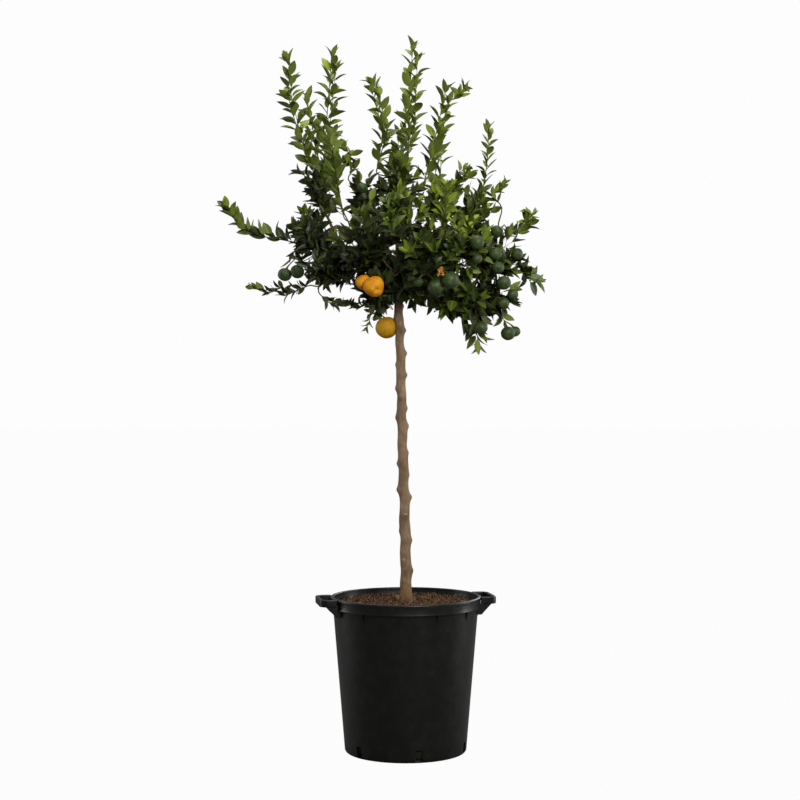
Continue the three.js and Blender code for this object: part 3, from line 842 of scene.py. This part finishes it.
stem_centres, stem_radii = stem_line()
stem_steps = round((TRUNK_HIGH.z - TRUNK_LOW.z) / BARK_STEP)
stem = smooth_line(stem_centres, stem_steps)
stem_radius = [float(np.interp(p.z, [c.z for c in stem_centres], stem_radii)) for p in stem]
trunk_pile = Pile()
round_limb(trunk_pile, stem, stem_radius, 40, relief=stem_relief)
# the stub of the rootstock's cut head stands against the left of the foot
stub_foot = stem[0] + Vector((-stem_radius[0] * 0.7, -4 * MM, -2 * MM))
stub_head = stub_foot + Vector((-9 * MM, -2 * MM, 22 * MM))
stub = arc(stub_foot, Vector((-0.5, 0, 0.8)).normalized(), stub_head, Vector((-0.1, 0, 1)), 6)
stub_radii = [radius * MM for radius in (6.5, 6.4, 6.2, 6, 5.8, 5.5, 4.2)]
round_limb(trunk_pile, stub, stub_radii, 14, relief=wood_relief)
for k in FRESH_CUTS:
    level, turn, swell = KNOTS[k]
    spot = min(range(len(stem)), key=lambda i: abs(stem[i].z - TRUNK_LOW.z - level * MM))
    side = Vector((math.cos(math.radians(turn)), math.sin(math.radians(turn)), 0.25)).normalized()
    foot = stem[spot] + side * (stem_radius[spot] * 0.8)
    cut = stem[spot] + side * (stem_radius[spot] + swell * MM + 0.5 * MM)
    round_limb(trunk_pile, [foot, cut - side * 0.8 * MM, cut], [4.6 * MM, 3.9 * MM, 3.2 * MM], 14,
               tone=CUT, relief=wood_relief)
for i, face in enumerate(trunk_pile.faces):
    spot = trunk_pile.points[face[0]]
    ragged = spot.z - TRUNK_LOW.z + 14 * MM * noise.noise(spot * 60)
    if trunk_pile.tones[i] == STEM and ragged < GRAFT_HEIGHT:
        trunk_pile.tones[i] = ROOTSTOCK
trunk_pile.piece("trunk_bark", [STEM_BARK, CUT_WOOD, FOOT_BARK], "bark", ["trunk"])
bough_pile.piece("bough_bark", [BOUGH_BARK], "bark", BOUGH_NAMES)
twig_pile.piece("twigs", [TWIG_BARK], "bark")

# ---------------------------------------------------------------- fruit
RINDS = {"green": GREEN_RIND, "ripe": RIPE_RIND, "turning": TURNING_RIND}
FLATNESS = 0.95  # a fruit's height as a share of its width
RIPE_HANG = Vector((-0.3, 0.78, 0.42)).normalized()  # the front ripe fruits turn their navels forward
fruit_piles = {kind: Pile() for kind in RINDS}
stalk_pile = Pile()


def grow_fruit(node, share, diameter, kind):
    """A round fruit, a little flat, with a dimple at its stalk and a navel, hung from the nearest twig."""
    centre = spot_in(node, share)
    radius = diameter * MM / 2

    def misfit(p):
        """How badly a twig would hold the fruit: best a stalk's length away, and not from below."""
        return abs((p - centre).length - radius * 1.5) + max(0, centre.z - p.z) * 0.5

    nearest = min(twig_places, key=misfit)
    stalk_way = (nearest - centre).normalized()
    hang = (stalk_way + UP * 0.9).normalized()
    if kind == "ripe" and centre.y < 0:
        hang = RIPE_HANG
    navel, lobes = (0.26, 0.045) if kind == "ripe" else (0.07, 0.0)
    spin = hang.to_track_quat("Z", "Y").to_matrix()
    rows, columns = 18, 28
    seed = Vector((rng.uniform(0, 50), 0, 0))
    points = [centre + spin @ Vector((0, 0, radius * 0.9))]
    for i in range(1, rows):
        polar = math.pi * i / rows
        dimple = 1 - 0.12 * math.exp(-(polar / 0.28) ** 2) - navel * math.exp(-((math.pi - polar) / 0.2) ** 2)
        for k in range(columns):
            turn = 2 * math.pi * k / columns
            level = Vector((math.cos(turn), math.sin(turn), 0)) * math.sin(polar)
            way = level + UP * math.cos(polar) * FLATNESS
            lump = 1 + 0.035 * noise.noise(way * 1.6 + seed) + lobes * math.cos(3 * turn) * math.sin(polar)
            points.append(centre + spin @ (way * radius * dimple * lump))
    points.append(centre - spin @ Vector((0, 0, radius * (FLATNESS - navel))))
    faces = [(0, 1 + k, 1 + (k + 1) % columns) for k in range(columns)]
    for i in range(rows - 2):
        for k in range(columns):
            a, b = 1 + i * columns + k, 1 + i * columns + (k + 1) % columns
            faces.append((a, a + columns, b + columns, b))
    last = len(points) - 1
    faces += [(last, last - 1 - k, last - 1 - (k + 1) % columns) for k in range(columns)]
    fruit_piles[kind].add(points, faces)
    top = centre + hang * radius * 0.84
    stalk = arc(nearest, (top - nearest).normalized(), top, -hang, 5, pull=0.25)
    round_limb(stalk_pile, stalk, [1.5 * MM, 1.4 * MM, 1.4 * MM, 1.6 * MM, 2.2 * MM, 3.4 * MM], 8)
    for k in range(5):  # the five sepals of the green button
        out = Matrix.Rotation(k * 2 * math.pi / 5, 3, hang) @ hang.orthogonal().normalized()
        round_limb(stalk_pile, [top, top + out * 2.6 * MM + hang * 0.6 * MM, top + out * 4.6 * MM],
                   [1.3 * MM, 1.1 * MM, 0.3 * MM], 5)


for fruit in FRUITS:
    grow_fruit(*fruit)

# A dried cluster of spent blossom beside the two large green fruits at the front.
BLOSSOM_PLACE = spot_in(*BLOSSOM[:2])
petal_pile = Pile()
for _ in range(13):
    way = Vector((rng.gauss(0, 0.6), -0.8 + rng.gauss(0, 0.3), rng.gauss(0, 0.6))).normalized()
    cup = BLOSSOM_PLACE + Vector((rng.uniform(-7, 7), rng.uniform(-4, 2), rng.uniform(-9, 9))) * MM
    cup_line = [cup - way * 4 * MM, cup, cup + way * 2 * MM]
    round_limb(petal_pile, cup_line, [0.7 * MM, 1.3 * MM, 1.8 * MM], 7, tone=1)
    for k in range(5):
        turn = k * 2 * math.pi / 5 + rng.uniform(-0.3, 0.3)
        out = Matrix.Rotation(turn, 3, way) @ way.orthogonal().normalized()
        tip = cup + way * rng.uniform(4, 7) * MM + out * rng.uniform(2.5, 5.5) * MM
        petal = arc(cup + way * 1 * MM, way, tip, out, 3)
        round_limb(petal_pile, petal, [0.9 * MM, 1.5 * MM, 1.2 * MM, 0.3 * MM], 4,
                   tone=rng.choices((0, 1), (3, 1))[0])
petal_pile.piece("dried_blossom", [PETAL, PETAL_DARK], "young_leaves")
for kind, pile in fruit_piles.items():
    pile.piece(kind + "_fruit", [RINDS[kind]], "old_leaves")
stalk_pile.piece("fruit_stalks", [TWIG_BARK], "bark")

# ---------------------------------------------------------------- leaves become pieces
stands_for = {"young": SHOOT_NAMES, "old": MASS_NAMES}
for tone, pile in leaf_piles.items():
    # the mature and old greens, darkened by age and by painted shade, take the darker back and midrib
    aged_and_shaded = tone in ("mature", "old")
    back_and_rib = [LEAF_BACK_OLD_AND_SHADED, MIDRIB_OLD_AND_SHADED] if aged_and_shaded else [LEAF_BACK, MIDRIB]
    slot = "old_leaves" if aged_and_shaded else "young_leaves"
    pile.piece(tone + "_leaves", [LEAF_TONES[tone], *back_and_rib], slot, stands_for.get(tone, ()))

# ---------------------------------------------------------------- pot
NECK_RADIUS = 181 * MM  # the tapered wall, just under the rim band
FOOT_RADIUS = 152 * MM
BAND = 28 * MM  # height of the rim band
RIM_WALL = 9 * MM  # the band's thickness, with its hollow inner step
WALL = 4 * MM
FLOOR = 5 * MM
FOOT_ROUND = 9 * MM  # radius of the rounded foot
FOOT_LIFT = 1.5 * MM  # the middle of the floor stands clear of the ground
BAND_EDGE = 2.5 * MM
LIP_EDGE = 3.5 * MM


def rounded(across, up, radius, start, end, steps):
    """Points of a round edge or bend about a centre, from one angle to another in degrees."""
    turns = [math.radians(start + (end - start) * k / steps) for k in range(steps + 1)]
    return [(across + radius * math.cos(turn), up + radius * math.sin(turn)) for turn in turns]


def pot_section():
    """Half section of the moulding: floor, rounded foot, tapered wall, rim band, round lip and inner step."""
    band_foot = POT_HEIGHT - BAND
    inner = RIM_RADIUS - RIM_WALL
    outside = [(0.0, FOOT_LIFT), (FOOT_RADIUS - 22 * MM, FOOT_LIFT), (FOOT_RADIUS - 18 * MM, 0.0)]
    outside += rounded(FOOT_RADIUS - FOOT_ROUND, FOOT_ROUND, FOOT_ROUND, -90, 0, 8)
    outside += [(FOOT_RADIUS + (NECK_RADIUS - FOOT_RADIUS) * k / 12,
                 FOOT_ROUND + (band_foot - FOOT_ROUND) * k / 12) for k in range(1, 12)]
    outside += [(NECK_RADIUS, band_foot - 1.5 * MM), (NECK_RADIUS + 1.5 * MM, band_foot)]
    outside += rounded(RIM_RADIUS - BAND_EDGE, band_foot + BAND_EDGE, BAND_EDGE, -90, 0, 5)
    # the band's face is sunk 0.8 mm between a bead below and the lip above
    outside += [(RIM_RADIUS - 0.8 * MM, band_foot + 6 * MM), (RIM_RADIUS - 0.8 * MM, POT_HEIGHT - 9 * MM),
                (RIM_RADIUS, POT_HEIGHT - 8 * MM)]
    outside += rounded(RIM_RADIUS - LIP_EDGE, POT_HEIGHT - LIP_EDGE, LIP_EDGE, 0, 90, 7)
    inside = rounded(inner + BAND_EDGE, POT_HEIGHT - BAND_EDGE, BAND_EDGE, 90, 180, 6)
    inside += [(inner, POT_HEIGHT - 12 * MM), (inner - 1.5 * MM, POT_HEIGHT - 13.5 * MM),
               (NECK_RADIUS - WALL, band_foot), (FOOT_RADIUS - WALL, FLOOR + 9 * MM),
               (FOOT_RADIUS - WALL - 8 * MM, FLOOR), (0.0, FLOOR)]
    return outside + inside


def turned_mesh(section, sides):
    """Closed surface turned from a section whose first and last points lie on the axis."""
    points = [Vector((0, 0, section[0][1]))]
    for radius, height in section[1:-1]:
        for k in range(sides):
            turn = 2 * math.pi * k / sides
            points.append(Vector((radius * math.cos(turn), radius * math.sin(turn), height)))
    points.append(Vector((0, 0, section[-1][1])))
    rows = len(section) - 2
    faces = [(0, 1 + (k + 1) % sides, 1 + k) for k in range(sides)]
    for i in range(rows - 1):
        for k in range(sides):
            a, b = 1 + i * sides + k, 1 + i * sides + (k + 1) % sides
            faces.append((a, b, b + sides, a + sides))
    last = len(points) - 1
    faces += [(last, last - sides + k, last - sides + (k + 1) % sides) for k in range(sides)]
    return points, faces


def box_form(size, place, turn):
    """A rectangular block, turned about the pot's axis."""
    way = Matrix.Rotation(turn, 3, "Z")
    points = [way @ (Vector((x * size[0] / 2, y * size[1] / 2, z * size[2] / 2)) + place)
              for x in (-1, 1) for y in (-1, 1) for z in (-1, 1)]
    return points, [(0, 1, 3, 2), (4, 6, 7, 5), (0, 4, 5, 1), (2, 3, 7, 6), (0, 2, 6, 4), (1, 5, 7, 3)]


pot_pile = Pile()
pot_pile.add(*turned_mesh(pot_section(), 144))
pot_piece = pot_pile.piece("pot_moulding", [POT_PLASTIC], "black_plastic", ["pot"])

# six drainage slots are cut through the wall at the foot
SLOT = (20 * MM, 17 * MM, 28 * MM)
SLOT_PLACE = Vector((FOOT_RADIUS, 0, 17 * MM))
cutter_pile = Pile()
for k in range(6):
    cutter_pile.add(*box_form(SLOT, SLOT_PLACE, math.radians(-78 + 60 * k)))
cutter_mesh = bpy.data.meshes.new("slot_cutter")
cutter_mesh.from_pydata([tuple(p) for p in cutter_pile.points], [], cutter_pile.faces)
cutter = bpy.data.objects.new("slot_cutter", cutter_mesh)
bpy.context.scene.collection.objects.link(cutter)
slots = pot_piece.modifiers.new("drainage_slots", "BOOLEAN")
slots.operation = "DIFFERENCE"
slots.solver = "EXACT"
slots.object = cutter
bpy.context.view_layer.update()
cut_mesh = bpy.data.meshes.new_from_object(pot_piece.evaluated_get(bpy.context.evaluated_depsgraph_get()))
pot_piece.modifiers.clear()
pot_piece.data = cut_mesh
bpy.data.objects.remove(cutter)
cut_mesh.polygons.foreach_set("use_smooth", [True] * len(cut_mesh.polygons))
cut_mesh.update()


def plate_form(outline, aside, thickness, turn):
    """An upright five-cornered gusset plate, from its outline out from the pot's axis and up."""
    way = Matrix.Rotation(turn, 3, "Z")
    points = [way @ Vector((x, aside + s * thickness / 2, z)) for s in (-1, 1) for x, z in outline]
    faces = [(0, 1, 2, 3, 4), (9, 8, 7, 6, 5)]
    faces += [((i + 1) % 5, i, 5 + i, 5 + (i + 1) % 5) for i in range(5)]
    return points, faces


def rib_form(turn):
    """A short tapering gusset between the wall and the underside of the rim band."""
    top = POT_HEIGHT - BAND + 1 * MM
    low = top - 21 * MM
    inner = NECK_RADIUS - 3 * MM
    outline = [(inner - 1 * MM, low), (inner + 2 * MM, low), (NECK_RADIUS + 4.5 * MM, top - 3 * MM),
               (NECK_RADIUS + 4.5 * MM, top), (inner - 1 * MM, top)]
    return plate_form(outline, 0, 3.2 * MM, turn)


HANDLE_DEPTH = 18 * MM
HANDLE_BAR = 9 * MM  # thickness of the grip
HANDLE_REACH = 222 * MM - HANDLE_BAR / 2  # from the pot's axis to the middle of the grip
HANDLE_HALF = 58 * MM - HANDLE_BAR / 2  # and sideways from there to the middle of either arm
HANDLE_CORNER = 16 * MM
BAR_EDGE = 2.2 * MM


def handle_path():
    """Line of the grip as seen from above: out from the rim, round a corner, along, round and back."""
    root = RIM_RADIUS - 7 * MM
    corner_x = HANDLE_REACH - HANDLE_CORNER
    corner_y = HANDLE_HALF - HANDLE_CORNER
    line = [(root, -HANDLE_HALF), (corner_x, -HANDLE_HALF)]
    line += rounded(corner_x, -corner_y, HANDLE_CORNER, -90, 0, 8)[1:]
    line += rounded(corner_x, corner_y, HANDLE_CORNER, 0, 90, 8)
    line.append((root, HANDLE_HALF))
    return [Vector((x, y, 0)) for x, y in line]


def handle_form(pile, turn):
    """One lug handle: a rounded upright bar bent round a finger gap, with a gusset plate under each end."""
    line = handle_path()
    way = Matrix.Rotation(turn, 3, "Z")
    section = []
    for side, above, start in ((1, 1, 0), (-1, 1, 90), (-1, -1, 180), (1, -1, 270)):
        section += rounded(side * (HANDLE_BAR / 2 - BAR_EDGE), above * (HANDLE_DEPTH / 2 - BAR_EDGE),
                           BAR_EDGE, start, start + 90, 3)
    count = len(section)
    points, faces = [], []
    for i, spot in enumerate(line):
        ahead = (line[min(i + 1, len(line) - 1)] - line[max(i - 1, 0)]).normalized()
        out = Vector((ahead.y, -ahead.x, 0))
        for u, v in section:
            points.append(way @ (spot + out * u + Vector((0, 0, HANDLE_TOP - HANDLE_DEPTH / 2 + v))))
    for i in range(len(line) - 1):
        for k in range(count):
            a, b = i * count + k, i * count + (k + 1) % count
            faces.append((a, a + count, b + count, b))
    faces.append(tuple(range(count)))
    faces.append(tuple((len(line) - 1) * count + k for k in reversed(range(count))))
    pile.add(points, faces)
    under = HANDLE_TOP - HANDLE_DEPTH
    inset = HANDLE_HALF ** 2 / (2 * NECK_RADIUS)  # the round wall falls back this far at the gussets
    outline = [(NECK_RADIUS - 14 * MM, under - 26 * MM), (NECK_RADIUS + 9 * MM - inset, under - 26 * MM),
               (HANDLE_REACH - 12 * MM, under - 1 * MM), (HANDLE_REACH - 12 * MM, under + 2 * MM),
               (NECK_RADIUS - 14 * MM, under + 2 * MM)]
    for aside in (-HANDLE_HALF, HANDLE_HALF):
        pile.add(*plate_form(outline, aside, 5.6 * MM, turn))


trim_pile = Pile()
for k in range(12):
    trim_pile.add(*rib_form(math.radians(-35 + 30 * k)))
for turn in (10, 190):
    handle_form(trim_pile, math.radians(turn))
trim_piece = trim_pile.piece("handles_and_ribs", [POT_PLASTIC], "black_plastic",
                             ["handle_left", "handle_right"])
for moulded in (pot_piece, trim_piece):
    edges = moulded.modifiers.new("mould_edges", "BEVEL")
    edges.width = 0.7 * MM
    edges.segments = 2
    edges.limit_method = "ANGLE"
    edges.angle_limit = math.radians(50)
    shading = moulded.modifiers.new("shading", "WEIGHTED_NORMAL")
    shading.keep_sharp = True

# ---------------------------------------------------------------- compost and bark mulch
MULCH_TONES = [
    bark_mulch_finish("mulch_red_brown", "6e4b2e", "382413"),
    bark_mulch_finish("mulch_tan", "8e6a42", "5a3f22"),
    bark_mulch_finish("mulch_dark", "2e2013", "160f08"),
]
COMPOST = bark_mulch_finish("moist_compost", "2a1f15", "120d09")
SHREDS = 4200
STEM_CLEAR = 17 * MM  # no shred lies nearer to the stem's middle
mulch_radius = RIM_RADIUS - RIM_WALL - 3 * MM
compost_section = [(0.0, FLOOR + 0.6 * MM), (FOOT_RADIUS - WALL - 9 * MM, FLOOR + 0.6 * MM),
                   (FOOT_RADIUS - WALL - 1 * MM, FLOOR + 10 * MM),
                   (NECK_RADIUS - WALL - 1.5 * MM, SOIL_LEVEL - 10 * MM)]
compost_section += [(mulch_radius * k / 16, SOIL_LEVEL - 3 * MM) for k in range(16, -1, -1)]
compost_points, compost_faces = turned_mesh(compost_section, 72)
for point in compost_points:
    if point.z > SOIL_LEVEL - 5 * MM:
        point.z += 5 * MM * noise.noise(point * 38) + 2 * MM * noise.noise(point * 130)
compost_pile = Pile()
compost_pile.add(compost_points, compost_faces)
compost_pile.piece("compost", [COMPOST], "bark_mulch", ["root_ball"])


def shred(place, length, width, thickness, lay, tilt):
    """A torn shred of bark: a bent, tapering sliver."""
    bend = rng.uniform(-0.3, 0.3)
    roll = Matrix.Rotation(rng.uniform(-1, 1), 3, "X")
    way = Matrix.Rotation(lay, 3, "Z") @ Matrix.Rotation(tilt, 3, "Y") @ roll
    points = []
    for along, share in ((-0.5, 0.35), (-0.1, 1.0), (0.5, 0.3)):
        bow = bend * length * along * along
        for y, z in ((-0.5, -0.5), (0.5, -0.5), (0.5, 0.5), (-0.5, 0.5)):
            corner = Vector((along * length, y * width * share + bow, z * thickness * share))
            points.append(place + way @ corner)
    faces = [(0, 3, 2, 1), (8, 9, 10, 11)]
    for i in (0, 4):
        faces += [(i + k, i + (k + 1) % 4, i + 4 + (k + 1) % 4, i + 4 + k) for k in range(4)]
    return points, faces


mulch_pile = Pile()
for _ in range(SHREDS):
    away = mulch_radius * math.sqrt(rng.random()) * 0.985
    turn = rng.uniform(0, 2 * math.pi)
    place = Vector((away * math.cos(turn), away * math.sin(turn), SOIL_LEVEL + rng.uniform(-4, 3) * MM))
    if (place - stem[0]).length < STEM_CLEAR:
        continue
    place.z += 5 * MM * noise.noise(place * 22)
    fibre = rng.random() < 0.62
    length = (rng.uniform(14, 38) if fibre else rng.uniform(6, 16)) * MM
    if away > mulch_radius - length * 0.5:
        length *= 0.4
    width = (rng.uniform(0.9, 2.2) if fibre else rng.uniform(2, 5)) * MM
    tilt = rng.uniform(-0.9, 0.9) if fibre else rng.gauss(0, 0.3)
    thickness = rng.uniform(0.7, 1.8) * MM
    points, faces = shred(place, length, width, thickness, rng.uniform(0, 2 * math.pi), tilt)
    mulch_pile.add(points, faces, rng.choices((0, 1, 2), (5, 2, 4))[0])
mulch_pile.piece("bark_mulch", MULCH_TONES, "bark_mulch", smooth=False)

# ---------------------------------------------------------------- floor, lights and camera
scene = bpy.context.scene
floor_mesh = bpy.data.meshes.new("studio_floor")
floor_mesh.from_pydata([(-30, -30, 0), (30, -30, 0), (30, 30, 0), (-30, 30, 0)], [], [(0, 1, 2, 3)])
floor = bpy.data.objects.new("studio_floor", floor_mesh)
scene.collection.objects.link(floor)
# Studio paper, rolled out: matt and pale, almost free of shadow, and throwing little light back up.
floor_paint, floor_tree, floor_shader = new_finish("pale_studio_floor", "5c5c5a", 0.9)
seen = put(floor_tree, "ShaderNodeLightPath").outputs["Is Camera Ray"]
glow = put(floor_tree, "ShaderNodeEmission", {"Color": linear("fdfdfd"), "Strength": 1.0}).outputs[0]
mostly = put(floor_tree, "ShaderNodeMath", {0: seen, 1: 0.992}, operation="MULTIPLY").outputs[0]
floor_mix = put(floor_tree, "ShaderNodeMixShader", {0: mostly, 1: floor_shader.outputs[0], 2: glow})
floor_tree.links.new(floor_mix.outputs[0], floor_tree.nodes["Material Output"].inputs["Surface"])
floor_mesh.materials.append(floor_paint)

world = bpy.data.worlds.new("studio")
scene.world = world
world.use_nodes = True
sky = world.node_tree
sky.nodes.clear()
camera_ray = put(sky, "ShaderNodeLightPath").outputs["Is Camera Ray"]
around = put(sky, "ShaderNodeTexCoord").outputs["Generated"]
height = put(sky, "ShaderNodeSeparateXYZ", {0: around}).outputs["Z"]
fade = put(sky, "ShaderNodeMapRange", {
    "Value": height, "From Min": -0.2, "From Max": 0.9, "To Min": 0.12, "To Max": 0.45}).outputs["Result"]
dim = put(sky, "ShaderNodeBackground", {"Color": linear("ffffff"), "Strength": fade}).outputs[0]
pale = put(sky, "ShaderNodeBackground", {"Color": linear("fdfdfd"), "Strength": 1.0}).outputs[0]
blend = put(sky, "ShaderNodeMixShader", {0: camera_ray, 1: dim, 2: pale})
put(sky, "ShaderNodeOutputWorld", {"Surface": blend.outputs[0]})


def softbox(name, place, aim, width, height, power):
    """A soft rectangular lamp, in metres and watts, which itself stays out of sight."""
    lamp = bpy.data.lights.new(name, "AREA")
    lamp.shape = "RECTANGLE"
    lamp.size = width
    lamp.size_y = height
    lamp.energy = power
    made = bpy.data.objects.new(name, lamp)
    made.location = place
    made.rotation_euler = (Vector(aim) - Vector(place)).to_track_quat("-Z", "Y").to_euler()
    made.visible_camera = False
    scene.collection.objects.link(made)


# the key lamp stands front right and high; the strips draw a pale line down each side of the pot
softbox("rim_softbox", (1.5, 3.0, 1.7), (0, 0, 0.5), 1.2, 1.2, 30)
softbox("key_softbox", (1.3, -3.4, 2.5), (0, 0, 1.2), 1.7, 1.7, 130)
softbox("top_softbox", (-0.3, 0.2, 3.8), (0, 0, 1.2), 2.2, 2.2, 62)
softbox("left_strip", (-2.6, 0.8, 1.1), (0, 0, 0.7), 0.5, 2.0, 19)
softbox("right_strip", (2.6, 0.5, 1.1), (0, 0, 0.7), 0.5, 2.0, 26)

camera_data = bpy.data.cameras.new("front_camera")
camera_data.sensor_width = 36
camera_data.lens = 77.95
camera = bpy.data.objects.new("front_camera", camera_data)
camera.location = VIEW_FROM
camera.rotation_euler = (math.radians(90) - VIEW_DOWN, 0, 0)
scene.collection.objects.link(camera)
scene.camera = camera
scene.view_settings.view_transform = "Standard"
